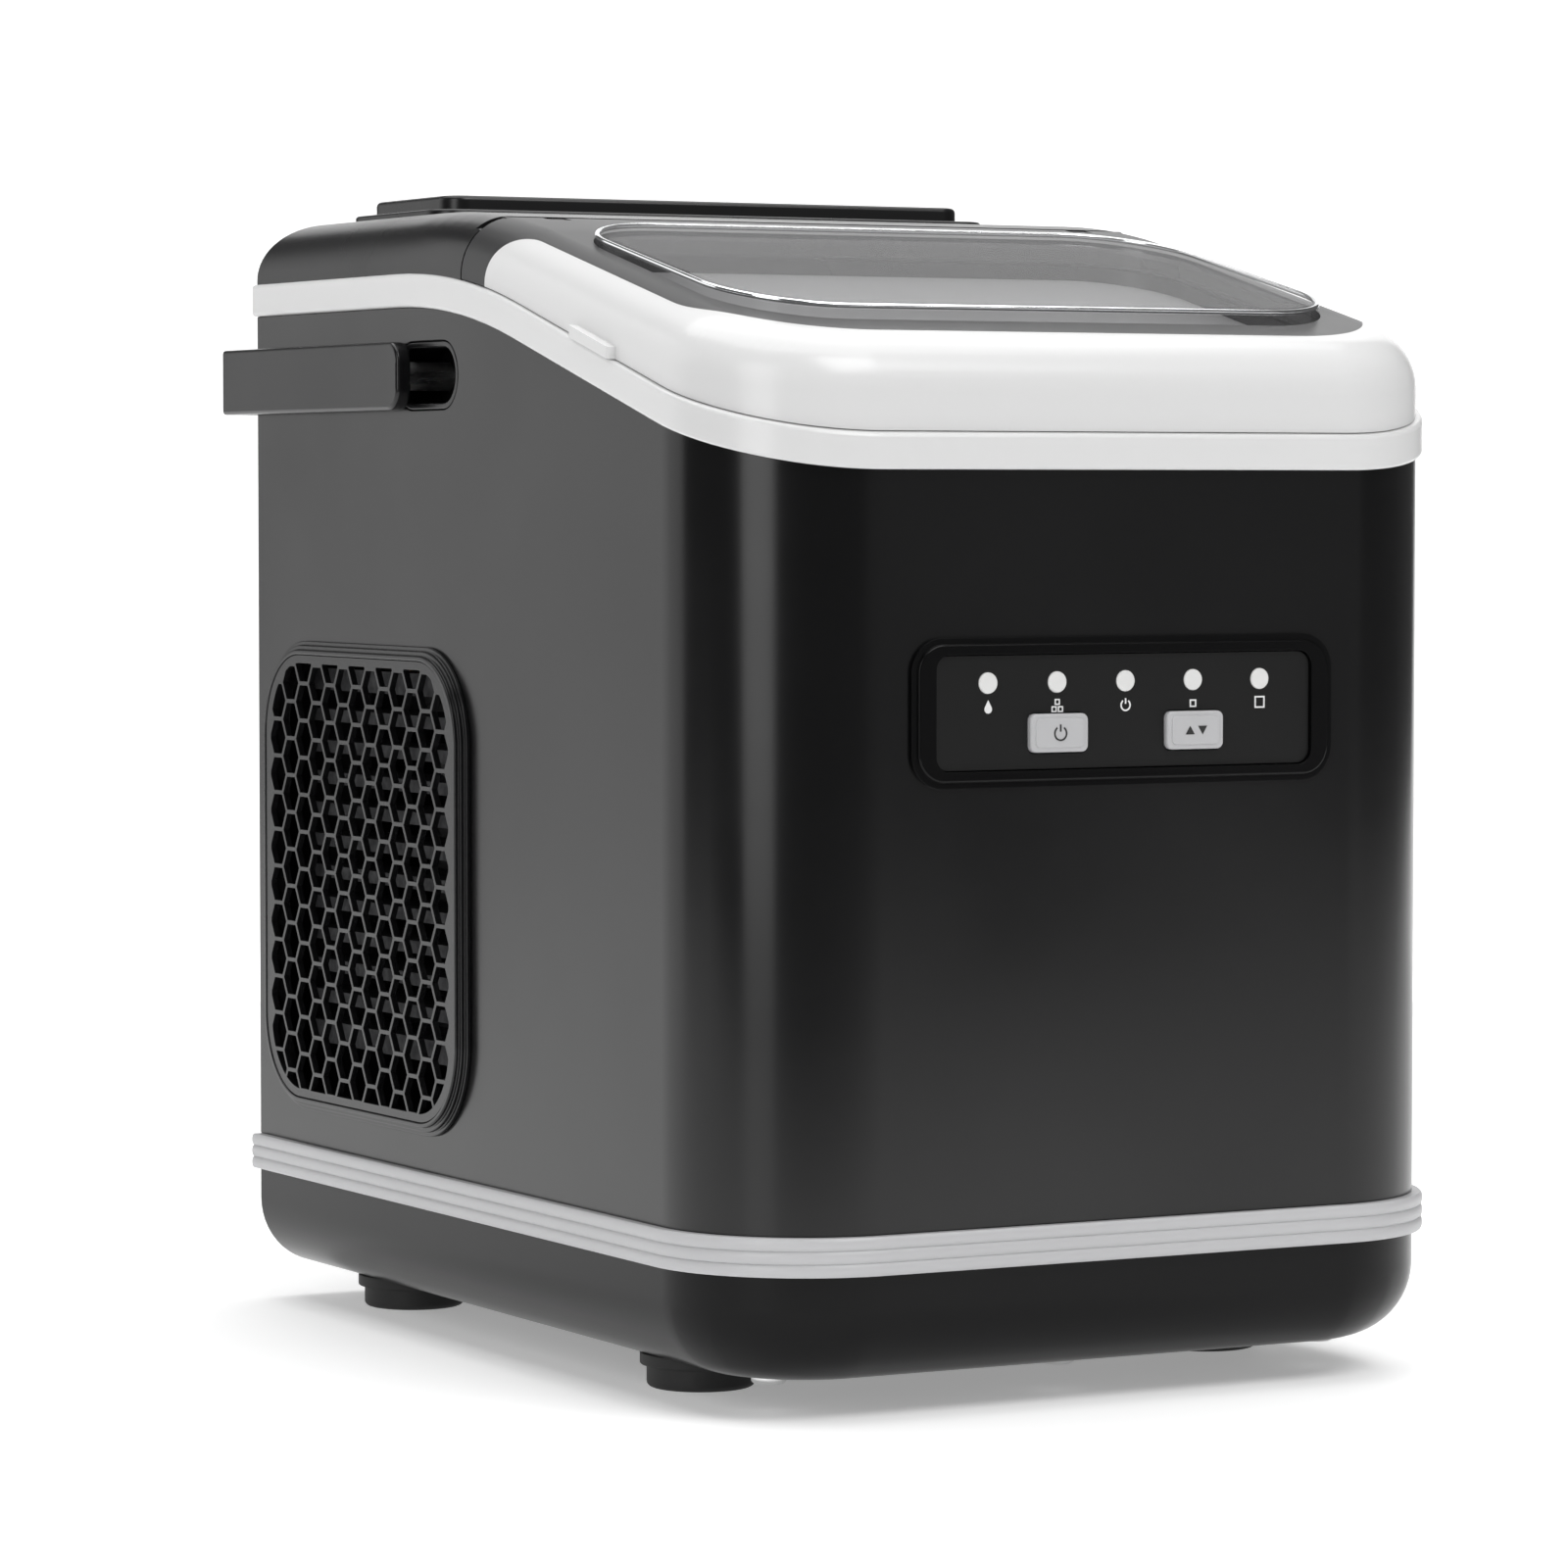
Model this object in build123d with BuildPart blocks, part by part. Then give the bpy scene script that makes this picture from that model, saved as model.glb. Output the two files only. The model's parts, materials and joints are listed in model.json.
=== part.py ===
from build123d import *
import os
from math import cos, pi, sin

os.makedirs("parts", exist_ok=True)

# Countertop bullet-ice maker. Millimetres, +Z up, the front faces -Y, +X is the right-hand side.
# The origin is on the surface the machine stands on, below the middle of its bounding box.
# Depths are measured back from the cabinet's front face, heights up from the base pan's underside.

# Cabinet
shell_width = 222.0
shell_depth = 298.7
corner_radius = 41.2
skin = 2.5
foot_height = 9.4
front = -153.5
half = shell_width / 2

# Base pan and the ribbed band above it
pan_height = 28.8
pan_edge_radius = 20.0
low_band_height = 10.0
rib_count = 3
rib_reach = 2.84
shell_bottom = pan_height + low_band_height

# Upper trim band: a ramp that bends into a level stretch
band_knee = (161.6, 277.5)
band_slope = 0.279
band_bend = 277.0
band_height = 9.2
band_reach = 1.8
band_inner = 5.0

# Top surface of the lid and the rear cover
top_knee = (166.25, 304.0)
top_slope = 0.24
top_bend = 284.0
top_edge_radius = 16.0

# Lid
crease = 160.0
lid_gap = 0.3
hinge_height = 298.6
barrel_radius = 2.6
barrel_half = 98.0
hinge_pin_radius = 1.2
running = 0.05
ear_x = 83.0
ear_width = 6.0
window_half = 92.5
window_front = 27.2
window_rear = 138.3
window_corner = 29.0
window_knee = (290.0, 334.05)
window_slope = 0.225
window_wall = 2.2

# Control panel
panel_x = 1.3
panel_width = 126.4
panel_tall = 38.3
panel_centre = 170.4
field_width = 113.0
field_tall = 29.7
lamp_pitch = 20.45
lamp_radius = 2.75
lamp_height = 178.0
button_size = (17.2, 9.9)
button_height = 165.0
on_off_x = panel_x - lamp_pitch
select_x = panel_x + lamp_pitch

# Side vents
vent_depth = 222.3
vent_height = 116.4
vent_size = 135.0
vent_corner = 27.0
vent_steps = 3
step_rise = 1.2
step_run = 1.25
flange_size = 130.0
flange_corner = 24.5
flange_depth = 3.0
grille_size = 127.0
grille_corner = 23.2
grille_back = 1.5
grille_thickness = 1.8
hole_field = (120.4, 122.4)
field_corner = 20.5
hex_pitch = 9.19
hex_rise = 10.64
hex_bar = 1.2
hex_shift = -3.1
smallest_hole = 5.0

# Carry handle
pivot_depth = 194.0
pivot_height = 258.4
arm_inner = 113.3
arm_outer = 117.8
arm_tall = 18.8
arm_front = 187.0
handle_corner = 1.8
bar_inner = 304.94
bar_outer = 309.84
handle_pin_radius = 4.0
pocket_front = 162.0
pocket_rear = 201.0
pocket_reach = 12.0

# Ice chamber, basket and tray
tank_half = 96.0
tank_front = 14.0
tank_rear = 153.0
tank_floor = 96.0
tank_rim = 6.0
basket_size = (176.0, 80.0, 76.0)
basket_depth = 58.5
basket_floor = 146.0
tray_depth = 126.0
tray_height = 222.0
tray_radius = 23.0
tray_half = 70.0
tray_wall = 2.0
finger_pitch = 25.0
evaporator_height = 250.0

# Drain
drain_depth = 62.0
drain_height = 84.0
drain_x = 76.0

# Machine room behind the chamber
fan_depth = 223.5
fan_height = 122.0
fan_radius = 44.0
compressor_at = (24.0, 226.0)
compressor_radius = 44.0


def fy(depth):
    """Y of a point that lies this far behind the cabinet's front face."""
    return front + depth


def up(height):
    """Z of a point this far above the underside of the base pan."""
    return foot_height + height


def save(piece, name):
    """Label a finished sub-part and write its STEP file."""
    piece.part.label = name
    export_step(piece.part, f"parts/{name}.step")


def plan(inset, reach=0.0):
    """Cabinet outline seen from above: square at the rear, rounded at the two front corners."""
    width = shell_width - 2 * inset + 2 * reach
    near = front + inset - reach
    far = front + shell_depth - inset
    with BuildSketch() as outline:
        with Locations((0, (near + far) / 2)):
            Rectangle(width, far - near)
        fillet(outline.vertices().group_by(Axis.Y)[0], corner_radius - inset + reach)
    return outline.sketch


def under_ramp(knee, slope, bend, lift=0.0):
    """Everything below a ramp that bends into a level stretch, across the whole width."""
    low = up(0)
    first = fy(-40)
    last = fy(330)
    knee_y = fy(knee[0])
    knee_z = up(knee[1]) + lift
    start = (first, knee_z - slope * (knee_y - first))
    with BuildPart() as under:
        with BuildSketch(Plane.YZ):
            with BuildLine():
                FilletPolyline(start, (knee_y, knee_z), (last, knee_z), radius=bend)
                Polyline((last, knee_z), (last, low), (first, low), start)
            make_face()
        extrude(amount=half + 20, both=True)
    return under.part


def under_band(lift=0.0):
    """Everything below the upper trim band's lower edge, raised by lift."""
    return under_ramp(band_knee, band_slope, band_bend, lift)


def under_top(lift=0.0):
    """Everything below the top surface, raised by lift."""
    return under_ramp(top_knee, top_slope, top_bend, lift)


def top_form(inset):
    """The lid and rear cover as one rounded block, shrunk by inset."""
    ceiling = under_top(-inset)
    base = up(200)
    with BuildPart() as form:
        with BuildSketch(Plane.XY.offset(base)):
            add(plan(inset))
        extrude(amount=130)
        add(ceiling, mode=Mode.INTERSECT)
        rims = []
        for edge in form.edges():
            middle = edge.position_at(0.5)
            upright = edge.bounding_box().size.Z > 20 and edge.bounding_box().size.Y < 1
            across = abs(middle.X) < 1 and fy(60) < middle.Y < fy(260)
            if middle.Z > base + 1 and not upright and not across:
                rims.append(edge)
        fillet(rims, top_edge_radius - inset)
    return form.part


def window_block(inset, drop):
    """The raised window's outline, shrunk by inset, under its own sloping roof."""
    roof = under_ramp(window_knee, window_slope, 60.0, -drop)
    with BuildPart() as block:
        with BuildSketch(Plane.XY.offset(up(200))):
            with Locations((0, fy((window_front + window_rear) / 2))):
                RectangleRounded(
                    2 * (window_half - inset),
                    window_rear - window_front - 2 * inset,
                    window_corner - inset,
                )
        extrude(amount=160)
        add(roof, mode=Mode.INTERSECT)
    return block.part


def room(x0, x1, y0, y1, z0, z1):
    """A plain block between two depths and two heights."""
    with BuildPart() as block:
        with Locations(((x0 + x1) / 2, fy((y0 + y1) / 2), up((z0 + z1) / 2))):
            Box(x1 - x0, y1 - y0, z1 - z0)
    return block.part


# ---------------------------------------------------------------- outer casing

# Base pan: a shallow tray with a large radius round its lower front and side edges.
def pan_block(inset):
    with BuildPart() as block:
        with BuildSketch(Plane.XY.offset(up(inset))):
            add(plan(inset))
        extrude(amount=pan_height)
        floor_face = block.faces().sort_by(Axis.Z)[0]
        fillet(floor_face.edges().sort_by(Axis.Y)[:-1], pan_edge_radius - inset)
    return block.part


pan_outside = pan_block(0)
pan_inside = pan_block(skin)
foot_spots = [(-78.6, fy(82)), (78.6, fy(82)), (-78.6, fy(262)), (78.6, fy(262))]
base_screw_spots = [(-84, fy(34)), (0, fy(30)), (84, fy(34)), (0, fy(285))]
with BuildPart() as base_pan:
    add(pan_outside)
    with BuildSketch(Plane.XY.offset(up(pan_height))):
        Rectangle(2 * shell_width, 2 * shell_depth)
    extrude(amount=20, mode=Mode.SUBTRACT)
    add(pan_inside, mode=Mode.SUBTRACT)
    with BuildSketch(Plane.XY.offset(up(skin))):
        with Locations(*foot_spots):
            Circle(7)
    extrude(amount=6)
    with Locations(*[(x, y, up(0)) for x, y in foot_spots + base_screw_spots]):
        Hole(1.6, depth=20)
save(base_pan, "base_pan")

# Feet: a wide rubber disc on a slightly wider collar, each held by its own screw.
with BuildPart() as feet:
    for x, y in foot_spots:
        with BuildSketch(Plane.XY.offset(foot_height)):
            with Locations((x, y)):
                Circle(16.2)
        extrude(amount=-3.4)
        with BuildSketch(Plane.XY):
            with Locations((x, y)):
                Circle(14.4)
        extrude(amount=foot_height - 3.4)
    fillet(feet.edges().group_by(Axis.Z)[0], 1.5)
    with Locations(*[(x, y, 0) for x, y in foot_spots]):
        CounterBoreHole(1.6, 4.2, 3.5, depth=foot_height + 1)
save(feet, "feet")

with BuildPart() as foot_screws:
    for x, y in foot_spots:
        with BuildSketch(Plane.XY.offset(1.6)):
            with Locations((x, y)):
                Circle(3.6)
        extrude(amount=1.9)
        with BuildSketch(Plane.XY.offset(3.5)):
            with Locations((x, y)):
                Circle(1.6)
        extrude(amount=12.0)
save(foot_screws, "foot_screws")

with BuildPart() as base_screws:
    for x, y in base_screw_spots:
        with BuildSketch(Plane.XY.offset(foot_height - 2.4)):
            with Locations((x, y)):
                Circle(4.75)
        extrude(amount=2.4)
        with BuildSketch(Plane.XY.offset(foot_height)):
            with Locations((x, y)):
                Circle(1.6)
        extrude(amount=8.0)
    fillet(base_screws.edges().group_by(Axis.Z)[0], 1.8)
save(base_screws, "base_screws")

# Ribbed band between the base pan and the cabinet shell.
with BuildPart() as lower_trim_band:
    with BuildSketch(Plane.XY.offset(up(pan_height))):
        add(plan(0))
        add(plan(skin), mode=Mode.SUBTRACT)
        with Locations((0, fy(shell_depth))):
            Rectangle(shell_width - 2 * skin, 30, mode=Mode.SUBTRACT)
    extrude(amount=low_band_height)
    rib_pitch = low_band_height / rib_count
    for index in range(rib_count):
        rib_bottom = up(pan_height) + index * rib_pitch + 0.35
        with BuildSketch(Plane.XY.offset(rib_bottom)):
            add(plan(0, rib_reach))
            add(plan(1.0), mode=Mode.SUBTRACT)
            with Locations((0, fy(shell_depth))):
                Rectangle(shell_width - 2, 30, mode=Mode.SUBTRACT)
        extrude(amount=rib_pitch - 0.7)
save(lower_trim_band, "lower_trim_band")

# Cabinet shell: front and two sides in one wrap, cut to the ramp of the upper band.
shell_ceiling = under_band()
with BuildPart() as body_shell:
    with BuildSketch(Plane.XY.offset(up(shell_bottom))):
        add(plan(0))
        add(plan(skin), mode=Mode.SUBTRACT)
        with Locations((0, fy(shell_depth))):
            Rectangle(shell_width - 2 * skin, 30, mode=Mode.SUBTRACT)
    extrude(amount=270)
    add(shell_ceiling, mode=Mode.INTERSECT)
    with BuildSketch(Plane.YZ.offset(-half - 5)):
        with Locations((fy(vent_depth), up(vent_height))):
            RectangleRounded(flange_size + 0.4, flange_size + 0.4, flange_corner + 0.2)
        with Locations((fy((pocket_front + pocket_rear) / 2), up(pivot_height))):
            SlotOverall(pocket_rear - pocket_front, arm_tall)
    extrude(amount=shell_width + 10, mode=Mode.SUBTRACT)
    with BuildSketch(Plane.XZ.offset(-front - 5)):
        with Locations((panel_x, up(panel_centre))):
            RectangleRounded(118.0, 33.0, 6)
    extrude(amount=10, mode=Mode.SUBTRACT)
    with BuildSketch(Plane.YZ.offset(half - 5)):
        with Locations((fy(drain_depth), up(drain_height))):
            Circle(9.2)
    extrude(amount=10, mode=Mode.SUBTRACT)
save(body_shell, "body_shell")

# Rear panel with air slots and the hole for the cord gland.
gland_at = (72.0, up(62))
with BuildPart() as rear_panel:
    with BuildSketch(Plane.XZ.offset(-fy(shell_depth))):
        with Locations((0, up((pan_height + band_knee[1]) / 2))):
            Rectangle(shell_width - 2 * skin, band_knee[1] - pan_height)
        with Locations((32, up(170))):
            with GridLocations(64, 11, 2, 9):
                SlotOverall(54, 4.5, mode=Mode.SUBTRACT)
        with Locations(gland_at):
            Circle(7.0, mode=Mode.SUBTRACT)
    extrude(amount=skin)
save(rear_panel, "rear_panel")

rear_screw_spots = [(x, up(z)) for x in (-98, 98) for z in (46, 160, 266)]
with BuildPart() as rear_screws:
    for x, z in rear_screw_spots:
        with BuildSketch(Plane.XZ.offset(-fy(shell_depth))):
            with Locations((x, z)):
                Circle(3.4)
        extrude(amount=-1.4)
    fillet(rear_screws.edges().group_by(Axis.Y)[-1], 0.9)
save(rear_screws, "rear_screws")

with BuildPart() as cord_gland:
    with BuildSketch(Plane.XZ.offset(-fy(shell_depth))):
        with Locations(gland_at):
            Circle(10.5)
    extrude(amount=-4.0)
    with BuildSketch(Plane.XZ.offset(-fy(shell_depth))):
        with Locations(gland_at):
            Circle(7.0)
    extrude(amount=10.0)
    with BuildSketch(Plane.XZ.offset(-fy(shell_depth) - 10)):
        with Locations(gland_at):
            Circle(3.6)
    extrude(amount=30, mode=Mode.SUBTRACT)
save(cord_gland, "cord_gland")

# Upper trim band: a closed ring round the cabinet, proud at the front and sides.
band_floor = under_band()
band_ceiling = under_band(band_height)
with BuildPart() as upper_trim_band:
    with BuildSketch(Plane.XY.offset(up(200))):
        add(plan(0, band_reach))
        with Locations((0, fy(shell_depth) + 20)):
            Rectangle(2 * shell_width, 40, mode=Mode.SUBTRACT)
        add(plan(band_inner), mode=Mode.SUBTRACT)
    extrude(amount=130)
    add(band_ceiling, mode=Mode.INTERSECT)
    add(band_floor, mode=Mode.SUBTRACT)
save(upper_trim_band, "upper_trim_band")

# ---------------------------------------------------------------- top: lid and rear cover
top_outside = top_form(0)
top_inside = top_form(skin)
band_top = under_band(band_height)
lid_floor = under_band(band_height + lid_gap)

# Rear cover, with a seat for the lid's barrel and two hinge ears.
front_of_cover = room(-130, 130, -40, crease + 0.3, 180, 340)
over_hinge = room(-130, 130, -40, crease + 2.9, hinge_height - 0.6, 340)
cover_wall = room(-half + skin, half - skin, crease + 3.0, crease + 5.5, 260, 340)
with BuildPart() as rear_top_cover:
    add(cover_wall)
    add(top_inside, mode=Mode.INTERSECT)
    add(top_outside)
    add(top_inside, mode=Mode.SUBTRACT)
    add(band_top, mode=Mode.SUBTRACT)
    add(front_of_cover, mode=Mode.SUBTRACT)
    add(over_hinge, mode=Mode.SUBTRACT)
cover_shell = rear_top_cover.part
with BuildPart() as cover_bulkhead:
    add(cover_wall)
    add(top_inside, mode=Mode.INTERSECT)
    add(band_top, mode=Mode.SUBTRACT)
with BuildPart() as rear_top_cover:
    add(cover_shell)
    add(cover_bulkhead.part)
    with BuildSketch(Plane.YZ.offset(-barrel_half - 0.6)):
        with Locations((fy(crease), up(hinge_height))):
            Circle(barrel_radius + 0.35)
    extrude(amount=2 * barrel_half + 1.2, mode=Mode.SUBTRACT)
    for side in (-1, 1):
        with BuildSketch(Plane.YZ.offset(side * ear_x - ear_width / 2)):
            with Locations((fy(crease), up(hinge_height))):
                Circle(2.3)
            with Locations((fy(crease + 2.0), up(hinge_height - 0.7))):
                Rectangle(4.0, 3.2)
        extrude(amount=ear_width)
    with BuildSketch(Plane.YZ.offset(-half)):
        with Locations((fy(crease), up(hinge_height))):
            Circle(hinge_pin_radius)
    extrude(amount=shell_width, mode=Mode.SUBTRACT)
save(rear_top_cover, "rear_top_cover")

with BuildPart() as hinge_pins:
    for side in (-1, 1):
        with BuildSketch(Plane.YZ.offset(side * ear_x - 11)):
            with Locations((fy(crease), up(hinge_height))):
                Circle(hinge_pin_radius)
        extrude(amount=22)
save(hinge_pins, "hinge_pins")

# Two stepped plates on the rear cover.
plate_middle = (250.75, 252.25)
with BuildPart() as top_plate_lower:
    with BuildSketch(Plane.XY.offset(up(top_knee[1]))):
        with Locations((0, fy(plate_middle[0]))):
            RectangleRounded(180, 63.5, 9)
    extrude(amount=2.2)
    fillet(top_plate_lower.edges().group_by(Axis.Z)[-1], 0.9)
save(top_plate_lower, "top_plate_lower")

with BuildPart() as top_plate_upper:
    with BuildSketch(Plane.XY.offset(up(top_knee[1] + 2.2))):
        with Locations((0, fy(plate_middle[1]))):
            RectangleRounded(168, 54.5, 7)
    extrude(amount=4.2)
    fillet(top_plate_upper.edges().group_by(Axis.Z)[-1], 1.5)
save(top_plate_upper, "top_plate_upper")


def dark_field():
    """The lid's dark area from above: rounded at the front, flaring out to the sides at the rear."""
    side = 102.0
    near = 14.4
    bend = 38.0
    flare = 128.0
    outer = half + 2
    flare_end = 146.5
    with BuildPart() as field:
        with BuildSketch(Plane.XY.offset(up(200))):
            with BuildLine():
                Line((-side + bend, fy(near)), (side - bend, fy(near)))
                TangentArc((side - bend, fy(near)), (side, fy(near + bend)), tangent=(1, 0))
                Line((side, fy(near + bend)), (side, fy(flare)))
                TangentArc((side, fy(flare)), (outer, fy(flare_end)), tangent=(0, 1))
                Polyline(
                    (outer, fy(flare_end)),
                    (outer, fy(175)),
                    (-outer, fy(175)),
                    (-outer, fy(flare_end)),
                )
                TangentArc((-side, fy(flare)), (-outer, fy(flare_end)), tangent=(0, 1))
                Line((-side, fy(flare)), (-side, fy(near + bend)))
                TangentArc((-side + bend, fy(near)), (-side, fy(near + bend)), tangent=(-1, 0))
            make_face()
        extrude(amount=160)
    return field.part


lid_dark = dark_field()
behind_lid = room(-130, 130, crease - 0.3, 340, 180, 340)
window_hole = window_block(-0.2, -40)

# White outer shell of the lid, with a finger tab on each side.
with BuildPart() as lid_shell:
    add(top_outside)
    add(top_inside, mode=Mode.SUBTRACT)
    add(lid_floor, mode=Mode.SUBTRACT)
    add(behind_lid, mode=Mode.SUBTRACT)
    add(lid_dark, mode=Mode.SUBTRACT)
tab_slab = room(-half - 2.6, half + 2.6, 67, 89, 240, 300)
tab_core = room(-half + 1, half - 1, 60, 95, 235, 305)
tab_ceiling = under_band(band_height + lid_gap + 3.2)
with BuildPart() as finger_tabs:
    add(tab_slab)
    add(tab_core, mode=Mode.SUBTRACT)
    add(tab_ceiling, mode=Mode.INTERSECT)
    add(lid_floor, mode=Mode.SUBTRACT)
    fillet(finger_tabs.edges().filter_by(Axis.Z).group_by(Axis.Y)[0], 1.0)
tabs = finger_tabs.part
white_shell = lid_shell.part
with BuildPart() as lid_shell:
    add(white_shell)
    add(tabs)
save(lid_shell, "lid_shell")

# Dark surround of the window, carrying the hinge barrel along its rear edge.
with BuildPart() as surround:
    add(top_outside)
    add(top_inside, mode=Mode.SUBTRACT)
    add(lid_floor, mode=Mode.SUBTRACT)
    add(behind_lid, mode=Mode.SUBTRACT)
    add(lid_dark, mode=Mode.INTERSECT)
    add(window_hole, mode=Mode.SUBTRACT)
surround_skin = surround.part
with BuildPart() as lid_frame:
    add(surround_skin)
    with BuildSketch(Plane.YZ.offset(-barrel_half)):
        with Locations((fy(crease), up(hinge_height))):
            Circle(barrel_radius)
    extrude(amount=2 * barrel_half)
    for side in (-1, 1):
        with Locations((side * ear_x, fy(crease), up(hinge_height))):
            Box(ear_width + 0.8, 9.0, 9.0, mode=Mode.SUBTRACT)
    with BuildSketch(Plane.YZ.offset(-barrel_half)):
        with Locations((fy(crease), up(hinge_height))):
            Circle(hinge_pin_radius + running)
    extrude(amount=2 * barrel_half, mode=Mode.SUBTRACT)
save(lid_frame, "lid_frame")

# Clear raised window: a shallow dome with upright walls.
window_outside = window_block(0, 0)
window_inside = window_block(window_wall, window_wall)
window_floor = under_top(-6.0)
with BuildPart() as lid_window:
    add(window_outside)
    fillet(lid_window.faces().sort_by(Axis.Z)[-1].edges(), 2.0)
    add(window_inside, mode=Mode.SUBTRACT)
    add(window_floor, mode=Mode.SUBTRACT)
save(lid_window, "lid_window")

# Inner lid: a well round the window and a plate that closes the lid underneath.
well_outside = window_block(-3.0, -40)
well_inside = window_block(3.5, -40)
pane_opening = window_block(8.5, -40)
well_ceiling = under_top(-6.3)
plate_ceiling = under_top(-12.5)
plate_floor = under_top(-14.5)
lid_rear_space = room(-130, 130, crease - 3, 340, 180, 340)
with BuildPart() as well_ring:
    add(well_outside)
    add(well_inside, mode=Mode.SUBTRACT)
    add(well_ceiling, mode=Mode.INTERSECT)
    add(plate_ceiling, mode=Mode.SUBTRACT)
with BuildPart() as lid_liner:
    with BuildSketch(Plane.XY.offset(up(200))):
        add(plan(skin + 0.6))
    extrude(amount=130)
    add(plate_ceiling, mode=Mode.INTERSECT)
    add(plate_floor, mode=Mode.SUBTRACT)
    add(lid_rear_space, mode=Mode.SUBTRACT)
    add(pane_opening, mode=Mode.SUBTRACT)
    add(well_ring.part)
save(lid_liner, "lid_liner")

pane_block = window_block(3.7, -40)
pane_ceiling = under_top(-10.5)
with BuildPart() as lid_inner_pane:
    add(pane_block)
    add(pane_ceiling, mode=Mode.INTERSECT)
    add(plate_ceiling, mode=Mode.SUBTRACT)
save(lid_inner_pane, "lid_inner_pane")

# Soft seal hanging from the inner lid down to the chamber's rim.
seal_floor = under_band(tank_rim + 0.6)
with BuildPart() as lid_seal:
    with BuildSketch(Plane.XY.offset(up(200))):
        with Locations((0, fy((tank_front + tank_rear) / 2))):
            RectangleRounded(2 * tank_half + 3, tank_rear - tank_front + 3, 24)
            RectangleRounded(2 * tank_half - 3, tank_rear - tank_front - 3, 21, mode=Mode.SUBTRACT)
    extrude(amount=130)
    add(plate_floor, mode=Mode.INTERSECT)
    add(seal_floor, mode=Mode.SUBTRACT)
save(lid_seal, "lid_seal")

# ---------------------------------------------------------------- control panel
face = -front
with BuildPart() as panel_bezel:
    with BuildSketch(Plane.XZ.offset(face)):
        with Locations((panel_x, up(panel_centre))):
            RectangleRounded(panel_width, panel_tall, 9)
    extrude(amount=1.1)
    with BuildSketch(Plane.XZ.offset(face + 1.1)):
        with Locations((panel_x, up(panel_centre))):
            RectangleRounded(panel_width - 3.2, panel_tall - 3.2, 7.5)
    extrude(amount=0.9)
    fillet(panel_bezel.edges().group_by(Axis.Y)[0], 0.6)
    with BuildSketch(Plane.XZ.offset(face)):
        with Locations((panel_x, up(panel_centre))):
            RectangleRounded(117.4, 32.4, 6)
    extrude(amount=-skin)
    with BuildSketch(Plane.XZ.offset(face - 5)):
        with Locations((panel_x, up(panel_centre))):
            RectangleRounded(field_width, field_tall, 4)
    extrude(amount=10, mode=Mode.SUBTRACT)
save(panel_bezel, "panel_bezel")

lamp_spots = [(panel_x + (index - 2) * lamp_pitch, up(lamp_height)) for index in range(5)]
with BuildPart() as panel_overlay:
    with BuildSketch(Plane.XZ.offset(face - 0.6)):
        with Locations((panel_x, up(panel_centre))):
            RectangleRounded(field_width - 0.4, field_tall - 0.4, 3.8)
        with Locations(*lamp_spots):
            Circle(lamp_radius + 0.1, mode=Mode.SUBTRACT)
        with Locations((on_off_x, up(button_height)), (select_x, up(button_height))):
            RectangleRounded(button_size[0] + 0.6, button_size[1] + 0.6, 2.1, mode=Mode.SUBTRACT)
    extrude(amount=1.6)
save(panel_overlay, "panel_overlay")

with BuildPart() as indicator_lenses:
    for x, z in lamp_spots:
        with BuildSketch(Plane.XZ.offset(face - 4.0)):
            with Locations((x, z)):
                Circle(lamp_radius)
        extrude(amount=5.3)
    fillet(indicator_lenses.edges().group_by(Axis.Y)[0], 0.4)
save(indicator_lenses, "indicator_lenses")


def push_button(x):
    """A rectangular key with a raised inner face and a short stem."""
    with BuildPart() as key:
        with BuildSketch(Plane.XZ.offset(face - 1.6)):
            with Locations((x, up(button_height))):
                RectangleRounded(button_size[0], button_size[1], 1.8)
        extrude(amount=4.0)
        fillet(key.edges().group_by(Axis.Y)[0], 0.6)
        with BuildSketch(Plane.XZ.offset(face + 2.4)):
            with Locations((x, up(button_height))):
                RectangleRounded(button_size[0] - 2.8, button_size[1] - 2.6, 1.2)
        extrude(amount=0.35)
        with BuildSketch(Plane.XZ.offset(face - 4.0)):
            with Locations((x, up(button_height))):
                Circle(1.8)
        extrude(amount=2.6)
    return key


on_off_button = push_button(on_off_x)
save(on_off_button, "on_off_button")
select_button = push_button(select_x)
save(select_button, "select_button")

with BuildPart() as tact_switches:
    for x in (on_off_x, select_x):
        with BuildSketch(Plane.XZ.offset(face - 8.0)):
            with Locations((x, up(button_height))):
                Rectangle(6, 6)
        extrude(amount=2.4)
save(tact_switches, "tact_switches")

with BuildPart() as control_board:
    with BuildSketch(Plane.XZ.offset(face - 9.6)):
        with Locations((panel_x, up(panel_centre))):
            Rectangle(108, 27)
    extrude(amount=1.6)
save(control_board, "control_board")

# ---------------------------------------------------------------- side vents


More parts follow.
